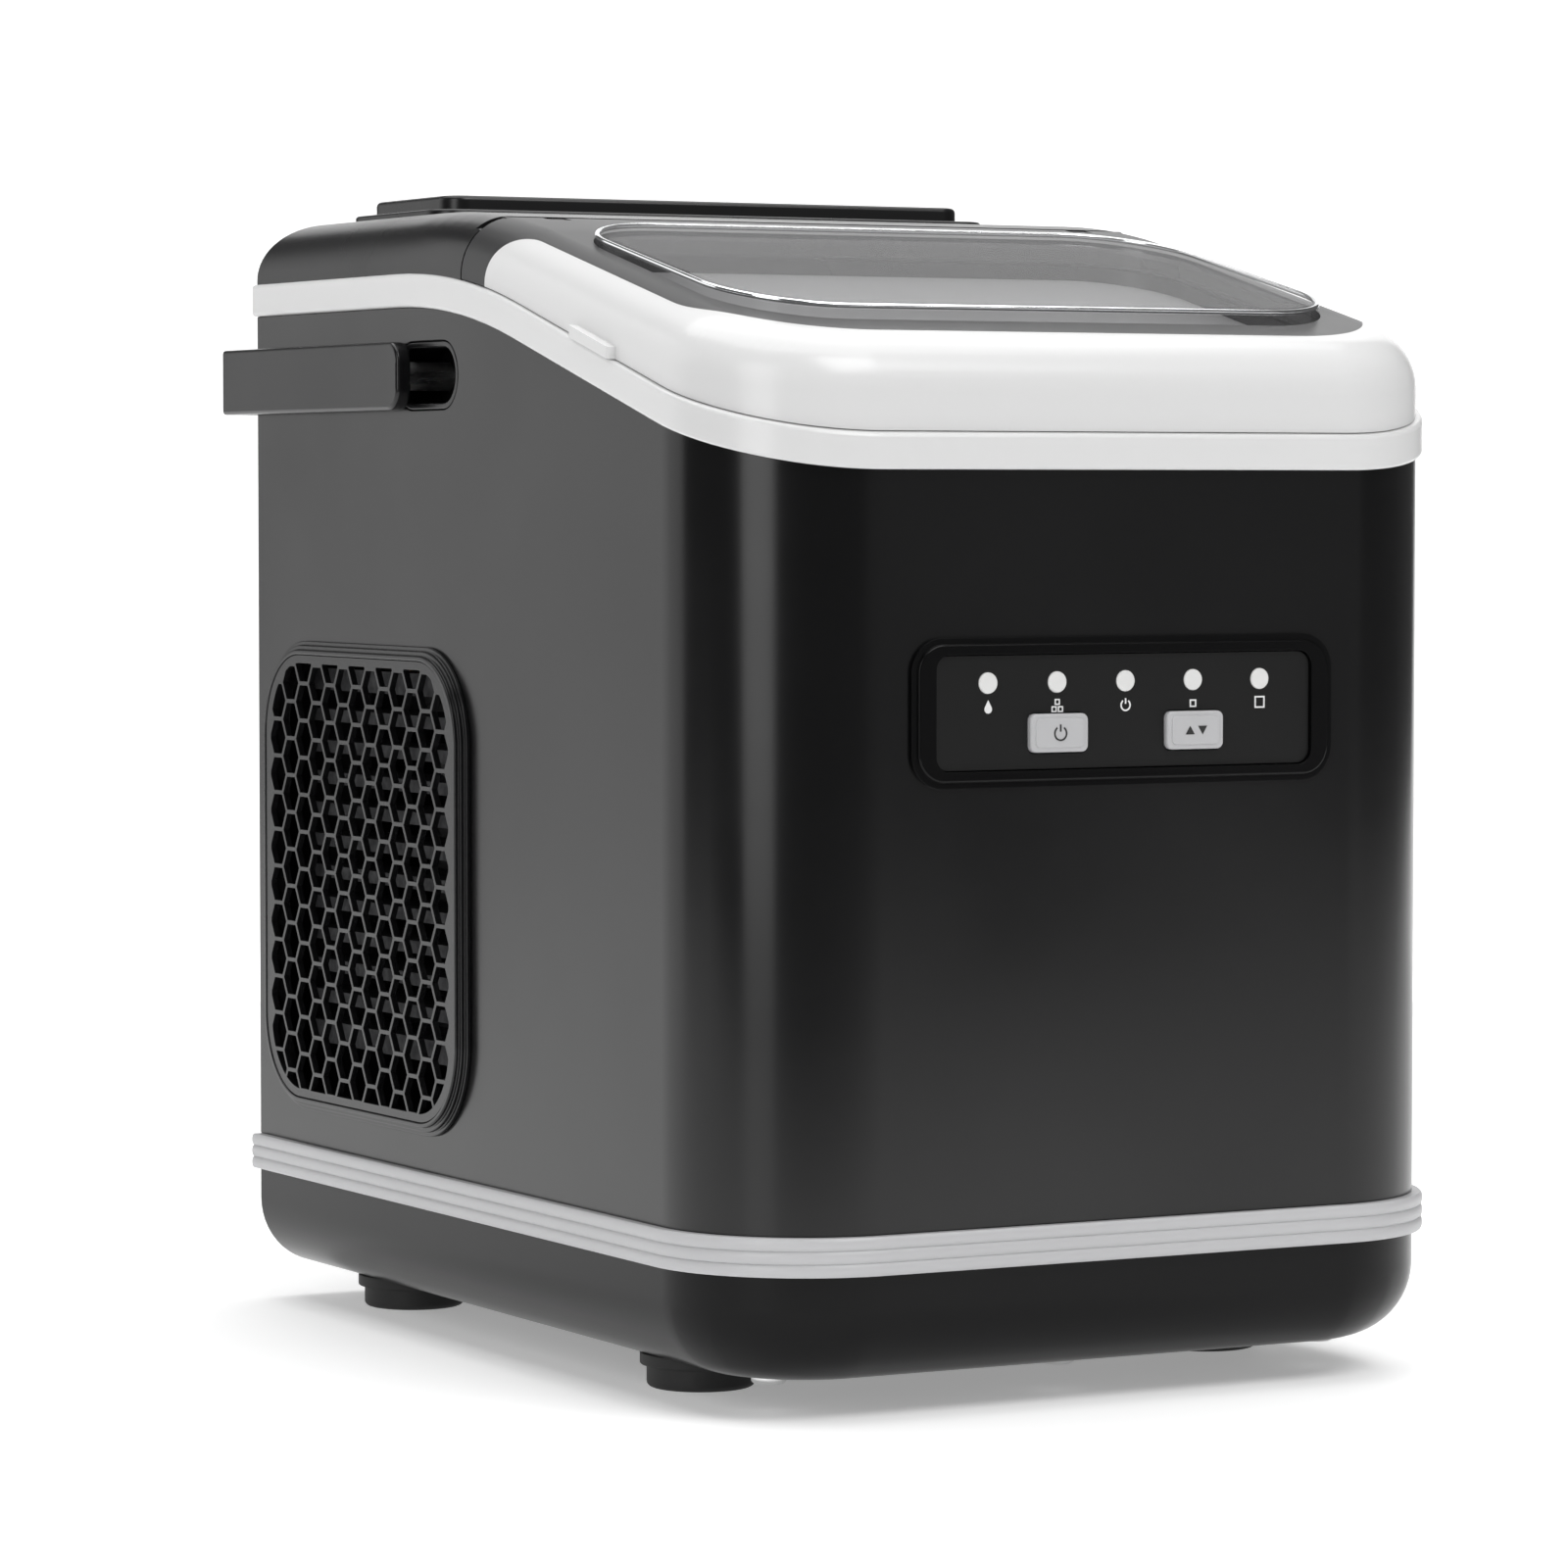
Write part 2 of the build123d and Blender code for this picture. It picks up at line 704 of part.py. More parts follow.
def vent_frame(side):
    """Stepped frame round a vent. side is -1 on the left and 1 on the right."""
    centre = (fy(vent_depth), up(vent_height))
    with BuildPart() as frame:
        for step in range(vent_steps):
            outline = vent_size - 2 * step * step_run
            with BuildSketch(Plane.YZ.offset(side * (half + step * step_rise))):
                with Locations(centre):
                    RectangleRounded(outline, outline, vent_corner - step * step_run)
            extrude(amount=side * step_rise)
        crest = frame.edges().group_by(Axis.X)[0 if side < 0 else -1]
        fillet(crest, 0.5)
        with BuildSketch(Plane.YZ.offset(side * half)):
            with Locations(centre):
                RectangleRounded(flange_size, flange_size, flange_corner)
        extrude(amount=-side * flange_depth)
        with BuildSketch(Plane.YZ.offset(side * (half + grille_back))):
            with Locations(centre):
                RectangleRounded(grille_size + 0.4, grille_size + 0.4, grille_corner + 0.2)
        extrude(amount=side * 10, mode=Mode.SUBTRACT)
        with BuildSketch(Plane.YZ.offset(side * (half - 4))):
            with Locations(centre):
                RectangleRounded(hole_field[0] + 1.6, hole_field[1] + 1.2, field_corner + 0.6)
        extrude(amount=side * 10, mode=Mode.SUBTRACT)
    return frame


def vent_grille(side):
    """Honeycomb of flat-topped hexagons inside a narrow rim."""
    centre = (fy(vent_depth), up(vent_height))
    spots = []
    for column in range(-6, 7):
        stagger = hex_shift + (hex_rise / 2 if column % 2 else 0.0)
        for row in range(-7, 8):
            spots.append((centre[0] + column * hex_pitch, centre[1] + row * hex_rise + stagger))
    with BuildSketch() as holes:
        with Locations(*spots):
            RegularPolygon((hex_rise - hex_bar) / 2, 6, major_radius=False)
        with Locations(centre):
            RectangleRounded(*hole_field, field_corner, mode=Mode.INTERSECT)
    kept = [hole for hole in holes.sketch.faces() if hole.area > smallest_hole]
    with BuildPart() as grille:
        with BuildSketch(Plane.YZ.offset(side * (half + grille_back))):
            with Locations(centre):
                RectangleRounded(grille_size, grille_size, grille_corner)
            add(kept, mode=Mode.SUBTRACT)
        extrude(amount=side * grille_thickness)
    return grille


left_vent_frame = vent_frame(-1)
save(left_vent_frame, "left_vent_frame")
right_vent_frame = vent_frame(1)
save(right_vent_frame, "right_vent_frame")
left_vent_grille = vent_grille(-1)
save(left_vent_grille, "left_vent_grille")
right_vent_grille = vent_grille(1)
save(right_vent_grille, "right_vent_grille")

# ---------------------------------------------------------------- carry handle
pocket_centre = (fy((pocket_front + pocket_rear) / 2), up(pivot_height))
pocket_length = pocket_rear - pocket_front
with BuildPart() as handle_pockets:
    with BuildSketch(Plane.YZ.offset(half - pocket_reach - 1.5)):
        with Locations(pocket_centre):
            SlotOverall(pocket_length - 0.4, arm_tall - 0.4)
    extrude(amount=pocket_reach + 1.5)
    with BuildSketch(Plane.YZ.offset(half - pocket_reach)):
        with Locations(pocket_centre):
            SlotOverall(pocket_length - 3.4, arm_tall - 3.4)
    extrude(amount=pocket_reach + 5, mode=Mode.SUBTRACT)
    with BuildSketch(Plane.YZ.offset(half - pocket_reach - 5)):
        with Locations((fy(pivot_depth), up(pivot_height))):
            Circle(handle_pin_radius + running)
    extrude(amount=10, mode=Mode.SUBTRACT)
    mirror(about=Plane.YZ)
save(handle_pockets, "handle_pockets")

with BuildPart() as carry_handle:
    with BuildSketch(Plane.XY.offset(up(pivot_height) - arm_tall / 2)) as bail:
        with Locations((0, fy((arm_front + bar_outer) / 2))):
            Rectangle(2 * arm_outer, bar_outer - arm_front)
        fillet(bail.vertices().group_by(Axis.Y)[-1], handle_corner)
        with Locations((0, fy((arm_front + bar_inner) / 2) - 5)):
            Rectangle(2 * arm_inner, bar_inner - arm_front + 10, mode=Mode.SUBTRACT)
    extrude(amount=arm_tall)
    fillet(carry_handle.edges().filter_by(Axis.X).group_by(Axis.Y)[0], 6)
save(carry_handle, "carry_handle")

with BuildPart() as handle_pins:
    with BuildSketch(Plane.YZ.offset(half - pocket_reach - 5)):
        with Locations((fy(pivot_depth), up(pivot_height))):
            Circle(handle_pin_radius)
    extrude(amount=arm_inner - half + pocket_reach + 5)
    with BuildSketch(Plane.YZ.offset(half - pocket_reach - 5)):
        with Locations((fy(pivot_depth), up(pivot_height))):
            Circle(handle_pin_radius + 2)
    extrude(amount=3)
    mirror(about=Plane.YZ)
save(handle_pins, "handle_pins")

# ---------------------------------------------------------------- ice chamber
rim_ceiling = under_band(tank_rim)
rim_floor = under_band(tank_rim - 2)
tank_middle = fy((tank_front + tank_rear) / 2)
tank_length = tank_rear - tank_front
behind_rim = room(-130, 130, tank_rear + 4, 340, 180, 340)
with BuildPart() as rim_flange:
    with BuildSketch(Plane.XY.offset(up(200))):
        add(plan(band_inner + 0.3))
        with Locations((0, tank_middle)):
            RectangleRounded(2 * tank_half - 4, tank_length - 4, 20, mode=Mode.SUBTRACT)
    extrude(amount=130)
    add(rim_ceiling, mode=Mode.INTERSECT)
    add(rim_floor, mode=Mode.SUBTRACT)
    add(behind_rim, mode=Mode.SUBTRACT)
evaporator_ports = [(62.0, up(evaporator_height)), (78.0, up(evaporator_height))]
with BuildPart() as tank_liner:
    with BuildSketch(Plane.XY.offset(up(tank_floor))):
        with Locations((0, tank_middle)):
            RectangleRounded(2 * tank_half, tank_length, 22)
    extrude(amount=200)
    with BuildSketch(Plane.XY.offset(up(tank_floor + skin))):
        with Locations((0, tank_middle)):
            RectangleRounded(2 * tank_half - 2 * skin, tank_length - 2 * skin, 19.5)
    extrude(amount=200, mode=Mode.SUBTRACT)
    add(rim_ceiling, mode=Mode.INTERSECT)
    add(rim_flange.part)
    for side in (-1, 1):
        with Locations((side * 87.5, fy(basket_depth), up(basket_floor - 3.2))):
            Box(14, 62, 6)
    with BuildSketch(Plane.XZ.offset(-fy(tank_rear) - 2)):
        with Locations(*evaporator_ports):
            Circle(4.3)
    extrude(amount=8, mode=Mode.SUBTRACT)
    with BuildSketch(Plane.XY.offset(up(tank_floor - 1))):
        with Locations((drain_x, fy(drain_depth))):
            Circle(4)
    extrude(amount=6, mode=Mode.SUBTRACT)
save(tank_liner, "tank_liner")

# Foam slabs on both sides and under the chamber.
with BuildPart() as foam_jacket:
    for side in (-1, 1):
        with Locations((side * (tank_half + 4.3), fy(84), up(160))):
            Box(8, 118, 124)
    with Locations((-14, fy(84), up(tank_floor - 4.3))):
        Box(150, 118, 8)
save(foam_jacket, "foam_jacket")

# Evaporator: a tube bent back on itself with nine freezing fingers hanging from it.
tube_radius = 4.0
finger_radius = 4.5
row_gap = 7.0
finger_bottom = tray_height - 16.0
tube_path = [
    (62, fy(164)),
    (62, fy(tray_depth + row_gap)),
    (-58, fy(tray_depth + row_gap)),
    (-58, fy(tray_depth - row_gap)),
    (78, fy(tray_depth - row_gap)),
    (78, fy(164)),
]
with BuildPart() as evaporator:
    with BuildLine(Plane.XY.offset(up(evaporator_height))) as route:
        FilletPolyline(*tube_path, radius=6.0)
    with BuildSketch(Plane.XZ.offset(-fy(164))):
        with Locations((62, up(evaporator_height))):
            Circle(tube_radius)
    sweep(path=route.wires()[0])
    for index in range(5):
        with BuildSketch(Plane.XY.offset(up(finger_bottom))):
            with Locations(((index - 2) * finger_pitch, fy(tray_depth - row_gap))):
                Circle(finger_radius)
        extrude(amount=evaporator_height - finger_bottom)
    for index in range(4):
        with BuildSketch(Plane.XY.offset(up(finger_bottom))):
            with Locations(((index - 1.5) * finger_pitch, fy(tray_depth + row_gap))):
                Circle(finger_radius)
        extrude(amount=evaporator_height - finger_bottom)
    fillet(evaporator.edges().group_by(Axis.Z)[0], 2.5)
save(evaporator, "evaporator")

# Tilting water tray: part of a tube about its own pivot axis, closed by two end cheeks.
with BuildPart() as water_tray:
    pivot = (fy(tray_depth), up(tray_height))
    with BuildSketch(Plane.YZ.offset(-tray_half)):
        with Locations(pivot):
            Circle(tray_radius)
            Circle(tray_radius - tray_wall, mode=Mode.SUBTRACT)
        with Locations((pivot[0], pivot[1] + tray_radius - 4.0)):
            Rectangle(3 * tray_radius, 2 * tray_radius, mode=Mode.SUBTRACT)
    extrude(amount=2 * tray_half)
    for side in (-1, 1):
        with BuildSketch(Plane.YZ.offset(side * tray_half)):
            with Locations(pivot):
                Circle(tray_radius)
            with Locations((pivot[0], pivot[1] + tray_radius + 7.0)):
                Rectangle(3 * tray_radius, 2 * tray_radius, mode=Mode.SUBTRACT)
        extrude(amount=-side * tray_wall)
        with BuildSketch(Plane.YZ.offset(side * tray_half)):
            with Locations(pivot):
                Circle(3)
        extrude(amount=side * 12)
save(water_tray, "water_tray")

with BuildPart() as tray_motor:
    with Locations((82.7, fy(tray_depth), up(tray_height))):
        Box(13, 26, 34)
    with Locations((91.35, fy(tray_depth - 5), up(tray_height))):
        Box(4.3, 10, 20)
    with BuildSketch(Plane.YZ.offset(70)):
        with Locations((fy(tray_depth), up(tray_height))):
            Circle(3 + running)
    extrude(amount=14, mode=Mode.SUBTRACT)
save(tray_motor, "tray_motor")

with BuildPart() as tray_bearing:
    with Locations((-84.85, fy(tray_depth), up(tray_height))):
        Box(17.3, 10, 18)
    with BuildSketch(Plane.YZ.offset(-84)):
        with Locations((fy(tray_depth), up(tray_height))):
            Circle(3 + running)
    extrude(amount=14, mode=Mode.SUBTRACT)
save(tray_bearing, "tray_bearing")

with BuildPart() as ice_full_sensor:
    for side in (-1, 1):
        with Locations((side * 91.7, fy(76), up(234))):
            Box(3.4, 12, 11)
save(ice_full_sensor, "ice_full_sensor")

pump_at = (-74.0, fy(132))
with BuildPart() as water_pump:
    with BuildSketch(Plane.XY.offset(up(tank_floor + skin))):
        with Locations(pump_at):
            Circle(14)
    extrude(amount=24)
    with BuildSketch(Plane.XY.offset(up(tank_floor + skin + 24))):
        with Locations(pump_at):
            Circle(3.4)
    extrude(amount=10)
save(water_pump, "water_pump")

hose_bottom = tank_floor + skin + 34
with BuildPart() as water_hose:
    with BuildLine() as hose_route:
        FilletPolyline(
            (pump_at[0], pump_at[1], up(hose_bottom)),
            (pump_at[0], pump_at[1], up(206)),
            (pump_at[0] + 0.01, fy(144), up(216)),
            (pump_at[0] + 0.02, fy(144), up(256)),
            (pump_at[0] + 14, fy(144), up(262)),
            radius=6.0,
        )
    with BuildSketch(Plane.XY.offset(up(hose_bottom))):
        with Locations(pump_at):
            Circle(3.4)
    sweep(path=hose_route.wires()[0])
save(water_hose, "water_hose")

# ---------------------------------------------------------------- basket and scoop


def basket():
    """Open ice basket with drain slots and a lifting loop at each end."""
    long_side, short_side, tall = basket_size
    middle = fy(basket_depth)
    bottom = up(basket_floor)
    thick = 2.0
    with BuildPart() as tub:
        with BuildSketch(Plane.XY.offset(bottom)):
            with Locations((0, middle)):
                RectangleRounded(long_side, short_side, 18)
        extrude(amount=tall)
        with BuildSketch(Plane.XY.offset(bottom + thick)):
            with Locations((0, middle)):
                RectangleRounded(long_side - 2 * thick, short_side - 2 * thick, 16)
        extrude(amount=tall, mode=Mode.SUBTRACT)
        with BuildSketch(Plane.XZ.offset(-middle - short_side / 2 - 5)):
            with Locations((0, bottom + 9)):
                with GridLocations(28, 10, 5, 1):
                    Rectangle(9, 18)
        extrude(amount=short_side + 10, mode=Mode.SUBTRACT)
        with BuildSketch(Plane.YZ.offset(-long_side / 2 - 5)):
            with Locations((middle, bottom + 22)):
                with GridLocations(11, 10, 3, 1):
                    SlotOverall(30, 5, rotation=90)
        extrude(amount=long_side + 10, mode=Mode.SUBTRACT)
        with BuildSketch(Plane.XY.offset(bottom)):
            with Locations((0, middle)):
                RectangleRounded(long_side, short_side, 18)
        extrude(amount=thick)
        with BuildSketch(Plane.XY.offset(bottom - 1)):
            with Locations((0, middle)):
                with GridLocations(20, 22, 8, 3):
                    SlotOverall(14, 4)
        extrude(amount=thick + 2, mode=Mode.SUBTRACT)
        for side in (-1, 1):
            with BuildSketch(Plane.YZ.offset(side * long_side / 2)):
                with Locations((middle, bottom + tall + 8)):
                    RectangleRounded(30, 20, 5)
                with Locations((middle, bottom + tall + 7)):
                    RectangleRounded(20, 12, 3, mode=Mode.SUBTRACT)
            extrude(amount=-side * thick)
    return tub


ice_basket = basket()
save(ice_basket, "ice_basket")

# Scoop: a half-round bowl with a slanted mouth, a closed heel and a flat grip.
scoop_radius = 27.0
scoop_wall = 1.8
scoop_axis = basket_floor + 2.3 + scoop_radius
scoop_depth = 56.0
with BuildPart() as scoop:
    with BuildSketch(Plane.YZ.offset(-76)):
        with Locations((fy(scoop_depth), up(scoop_axis))):
            Circle(scoop_radius)
            Circle(scoop_radius - scoop_wall, mode=Mode.SUBTRACT)
        with Locations((fy(scoop_depth), up(scoop_axis + scoop_radius))):
            Rectangle(60, 2 * scoop_radius, mode=Mode.SUBTRACT)
    extrude(amount=84)
    with BuildSketch(Plane.YZ.offset(8 - scoop_wall)):
        with Locations((fy(scoop_depth), up(scoop_axis))):
            Circle(scoop_radius)
        with Locations((fy(scoop_depth), up(scoop_axis + scoop_radius))):
            Rectangle(60, 2 * scoop_radius, mode=Mode.SUBTRACT)
    extrude(amount=scoop_wall)
    with BuildSketch(Plane.XZ.offset(-fy(scoop_depth))):
        with BuildLine():
            Polyline(
                (-80, up(scoop_axis - 22)),
                (-46, up(scoop_axis + 2)),
                (-80, up(scoop_axis + 2)),
                close=True,
            )
        make_face()
    extrude(amount=40, both=True, mode=Mode.SUBTRACT)
    with BuildSketch(Plane.XY.offset(up(scoop_axis - 5))):
        with Locations((44.0, fy(scoop_depth))):
            RectangleRounded(72, 17, 5)
    extrude(amount=5)
save(scoop, "scoop")

# ---------------------------------------------------------------- drain
with BuildPart() as drain_spout:
    with BuildSketch(Plane.YZ.offset(drain_x - 10)):
        with Locations((fy(drain_depth), up(drain_height))):
            Circle(9)
    extrude(amount=half + 10 - drain_x)
    with BuildSketch(Plane.YZ.offset(half)):
        with Locations((fy(drain_depth), up(drain_height))):
            Circle(12)
    extrude(amount=1.6)
    with BuildSketch(Plane.XY.offset(up(drain_height))):
        with Locations((drain_x, fy(drain_depth))):
            Circle(6.5)
    extrude(amount=tank_floor - drain_height)
    with BuildSketch(Plane.YZ.offset(drain_x - 7)):
        with Locations((fy(drain_depth), up(drain_height))):
            Circle(5.5)
    extrude(amount=80, mode=Mode.SUBTRACT)
    with BuildSketch(Plane.XY.offset(up(drain_height))):
        with Locations((drain_x, fy(drain_depth))):
            Circle(4)
    extrude(amount=30, mode=Mode.SUBTRACT)
save(drain_spout, "drain_spout")

with BuildPart() as drain_cap:
    with BuildSketch(Plane.YZ.offset(half + 1.9)):
        with Locations((fy(drain_depth), up(drain_height))):
            Circle(11)
    extrude(amount=3.6)
    fillet(drain_cap.edges().group_by(Axis.X)[-1], 1.2)
    with BuildSketch(Plane.YZ.offset(half - 14)):
        with Locations((fy(drain_depth), up(drain_height))):
            Circle(5.45)
    extrude(amount=16)
save(drain_cap, "drain_cap")

# ---------------------------------------------------------------- machine room
comp_x, comp_depth = compressor_at
mount_spots = [(comp_x + dx, fy(comp_depth) + dy) for dx in (-38, 38) for dy in (-38, 38)]
with BuildPart() as compressor_mounts:
    with BuildSketch(Plane.XY.offset(up(skin))):
        with Locations(*mount_spots):
            Circle(8)
    extrude(amount=11)
save(compressor_mounts, "compressor_mounts")

with BuildPart() as compressor:
    with BuildSketch(Plane.XY.offset(up(skin + 11))):
        with Locations((comp_x, fy(comp_depth))):
            RectangleRounded(94, 94, 12)
    extrude(amount=3)
    with BuildSketch(Plane.XY.offset(up(skin + 14))):
        with Locations((comp_x, fy(comp_depth))):
            Circle(compressor_radius)
    extrude(amount=112)
    fillet(compressor.edges().group_by(Axis.Z)[-1], 20)
save(compressor, "compressor")

with BuildPart() as condenser:
    with Locations((-95.5, fy(fan_depth), up(fan_height))):
        Box(19, 104, 108)
    with BuildSketch(Plane.XZ.offset(-fy(fan_depth + 52) - 1)):
        with Locations((-95.5, up(fan_height))):
            with GridLocations(10, 9, 1, 11):
                Rectangle(30, 5.5)
    extrude(amount=100, mode=Mode.SUBTRACT)
save(condenser, "condenser")

with BuildPart() as fan_shroud:
    with BuildSketch(Plane.YZ.offset(-85.5)):
        with Locations((fy(fan_depth), up(fan_height))):
            RectangleRounded(104, 108, 8)
            Circle(fan_radius + 2, mode=Mode.SUBTRACT)
    extrude(amount=20)
    with BuildSketch(Plane.YZ.offset(-65.5)):
        with Locations((fy(fan_depth), up(fan_height))):
            Rectangle(104, 10)
            Circle(16)
    extrude(amount=3)
save(fan_shroud, "fan_shroud")

with BuildPart() as fan_motor:
    with BuildSketch(Plane.YZ.offset(-62.5)):
        with Locations((fy(fan_depth), up(fan_height))):
            Circle(18)
    extrude(amount=26)
save(fan_motor, "fan_motor")

with BuildPart() as fan_rotor:
    with BuildSketch(Plane.YZ.offset(-84.5)):
        with Locations((fy(fan_depth), up(fan_height))):
            Circle(15)
    extrude(amount=16)
    for index in range(7):
        angle = index * 360 / 7
        hub = Plane(
            origin=(-76.5, fy(fan_depth), up(fan_height)),
            x_dir=(1, 0, 0),
            z_dir=(0, cos(angle * pi / 180), sin(angle * pi / 180)),
        )
        with BuildSketch(hub.offset(12)):
            Rectangle(15, 1.8, rotation=38)
        extrude(amount=fan_radius - 12)
save(fan_rotor, "fan_rotor")

with BuildPart() as filter_drier:
    with BuildSketch(Plane.XY.offset(up(160))):
        with Locations((92, fy(276))):
            Circle(9)
    extrude(amount=70)
    fillet(filter_drier.edges().group_by(Axis.Z)[0], 5)
    fillet(filter_drier.edges().group_by(Axis.Z)[-1], 5)
save(filter_drier, "filter_drier")


def pipe(points, radius, bend):
    """A bent copper pipe: straight runs joined by arcs, starting along Z."""
    with BuildPart() as tube:
        with BuildLine() as centre_line:
            FilletPolyline(*points, radius=bend)
        with BuildSketch(Plane.XY.offset(points[0][2])):
            with Locations(points[0][:2]):
                Circle(radius)
        sweep(path=centre_line.wires()[0])
    return tube


comp_top = up(skin + 14 + 112)
suction_pipe = pipe(
    [
        (comp_x + 14, fy(comp_depth) - 8, comp_top),
        (comp_x + 14, fy(comp_depth) - 8, up(206)),
        (78, fy(comp_depth) - 8, up(206)),
        (78, fy(182), up(206)),
        (78, fy(182), up(evaporator_height)),
        (78, fy(164), up(evaporator_height)),
    ],
    3.2,
    8.0,
)
save(suction_pipe, "suction_pipe")

discharge_pipe = pipe(
    [
        (comp_x - 16, fy(comp_depth) + 6, comp_top),
        (comp_x - 16, fy(comp_depth) + 6, up(196)),
        (-95.5, fy(comp_depth) + 6, up(196)),
        (-95.5, fy(comp_depth) + 6, up(fan_height + 54)),
    ],
    2.6,
    8.0,
)
save(discharge_pipe, "discharge_pipe")

with BuildPart() as power_board:
    with Locations((-28, fy(288), up(232))):
        Box(96, 1.6, 58)
    with Locations((-48, fy(282.2), up(232)), (-8, fy(282.2), up(222))):
        Box(26, 10, 24)
save(power_board, "power_board")
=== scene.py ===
import json
from math import cos, pi, radians, sin

import bmesh
import bpy
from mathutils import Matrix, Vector

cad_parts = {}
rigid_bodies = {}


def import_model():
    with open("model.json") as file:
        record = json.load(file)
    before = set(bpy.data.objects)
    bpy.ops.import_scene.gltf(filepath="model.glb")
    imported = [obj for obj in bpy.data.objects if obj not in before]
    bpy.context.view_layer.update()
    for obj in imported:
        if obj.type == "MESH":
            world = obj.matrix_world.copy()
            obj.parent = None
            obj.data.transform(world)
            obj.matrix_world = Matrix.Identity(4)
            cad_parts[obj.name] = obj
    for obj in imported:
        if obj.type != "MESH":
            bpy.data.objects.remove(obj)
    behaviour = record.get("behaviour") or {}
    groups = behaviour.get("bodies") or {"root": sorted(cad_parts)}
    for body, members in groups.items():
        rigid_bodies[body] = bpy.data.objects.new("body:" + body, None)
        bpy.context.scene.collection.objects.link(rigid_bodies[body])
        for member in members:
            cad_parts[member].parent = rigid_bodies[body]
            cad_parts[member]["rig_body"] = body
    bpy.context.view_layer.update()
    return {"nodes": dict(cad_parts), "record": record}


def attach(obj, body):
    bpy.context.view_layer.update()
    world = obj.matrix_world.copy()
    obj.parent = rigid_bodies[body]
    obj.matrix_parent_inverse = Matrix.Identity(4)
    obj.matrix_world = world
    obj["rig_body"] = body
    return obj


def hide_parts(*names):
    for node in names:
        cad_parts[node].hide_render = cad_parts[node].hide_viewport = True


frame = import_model()
nodes = frame["nodes"]
mm = 0.001

# ---------------------------------------------------------------- materials


even = (1.0, 1.0, 1.0)
noise_floor = 0.3
noise_ceiling = 0.7


class Paint:
    """A principled material, with short calls for the procedural detail that feeds it."""

    def __init__(self, name, color, roughness, **sockets):
        self.material = bpy.data.materials.new(name)
        self.material.use_nodes = True
        self.tree = self.material.node_tree
        self.shader = self.tree.nodes["Principled BSDF"]
        self.color = color
        self.shader.inputs["Base Color"].default_value = (*color, 1.0)
        self.shader.inputs["Roughness"].default_value = roughness
        self.roughness = roughness
        for socket, value in sockets.items():
            self.shader.inputs[socket.replace("_", " ")].default_value = value

    def noise(self, scale, detail, stretch=even):
        """Object-space noise, so the pattern stays on the part."""
        place = self.tree.nodes.new("ShaderNodeTexCoord")
        mapping = self.tree.nodes.new("ShaderNodeMapping")
        mapping.inputs["Scale"].default_value = stretch
        texture = self.tree.nodes.new("ShaderNodeTexNoise")
        texture.inputs["Scale"].default_value = scale
        texture.inputs["Detail"].default_value = detail
        self.tree.links.new(place.outputs["Object"], mapping.inputs["Vector"])
        self.tree.links.new(mapping.outputs["Vector"], texture.inputs["Vector"])
        return texture.outputs["Fac"]

    def between(self, value, low, high):
        """Turn the middle span of a noise value into a number between low and high."""
        spread = self.tree.nodes.new("ShaderNodeMapRange")
        spread.inputs["From Min"].default_value = noise_floor
        spread.inputs["From Max"].default_value = noise_ceiling
        spread.inputs["To Min"].default_value = low
        spread.inputs["To Max"].default_value = high
        self.tree.links.new(value, spread.inputs["Value"])
        return spread.outputs["Result"]

    def vary_roughness(self, scale, amount, stretch=even):
        """Handling marks: roughness wanders round its base value."""
        low = max(0.0, self.roughness - amount)
        high = min(1.0, self.roughness + amount)
        value = self.between(self.noise(scale, 4.0, stretch), low, high)
        self.tree.links.new(value, self.shader.inputs["Roughness"])

    def vary_color(self, scale, amount):
        """Small shifts of tone, as moulded plastic has."""
        ramp = self.tree.nodes.new("ShaderNodeValToRGB")
        darker, lighter = ramp.color_ramp.elements
        darker.position = noise_floor
        lighter.position = noise_ceiling
        darker.color = (*[c * (1 - amount) for c in self.color], 1)
        lighter.color = (*[min(1, c * (1 + amount)) for c in self.color], 1)
        self.tree.links.new(self.noise(scale, 3.0), ramp.inputs["Fac"])
        self.tree.links.new(ramp.outputs["Color"], self.shader.inputs["Base Color"])

    def bump(self, scale, depth, stretch=even):
        """Surface texture this many metres deep."""
        relief = self.tree.nodes.new("ShaderNodeBump")
        relief.inputs["Strength"].default_value = 1.0
        relief.inputs["Distance"].default_value = depth
        self.tree.links.new(self.noise(scale, 2.0, stretch), relief.inputs["Height"])
        self.tree.links.new(relief.outputs["Normal"], self.shader.inputs["Normal"])

    def glow(self, strength):
        """White light of its own, for studio sheets."""
        self.shader.inputs["Emission Color"].default_value = (1, 1, 1, 1)
        self.shader.inputs["Emission Strength"].default_value = strength


def moulded(name, color, roughness, grain=0.000012, tone=0.05, **sockets):
    """Injection-moulded plastic: faint grain, slight tone shifts and uneven gloss."""
    paint = Paint(name, color, roughness, **sockets)
    paint.vary_roughness(9.0, min(0.05, roughness * 0.3))
    paint.vary_color(6.0, tone)
    paint.bump(1400.0, grain)
    return paint.material


def polished(name, color, roughness, **sockets):
    """High-gloss plastic: slow, shallow waviness and almost even tone."""
    paint = Paint(name, color, roughness, **sockets)
    paint.vary_roughness(14.0, roughness * 0.10)
    paint.vary_color(5.0, 0.008)
    paint.bump(60.0, 0.000006)
    return paint.material


def metal(name, color, roughness, stretch=even):
    """Metal with a fine directional grain."""
    paint = Paint(name, color, roughness, Metallic=1.0)
    paint.vary_roughness(300.0, roughness * 0.4, stretch)
    paint.bump(500.0, 0.00001, stretch)
    return paint.material


def clear(name, color, roughness, alpha):
    """Clear moulded plastic, as see-through as its alpha is low."""
    paint = Paint(name, color, roughness, IOR=1.45, Alpha=alpha)
    paint.vary_roughness(20.0, roughness * 0.5)
    return paint.material


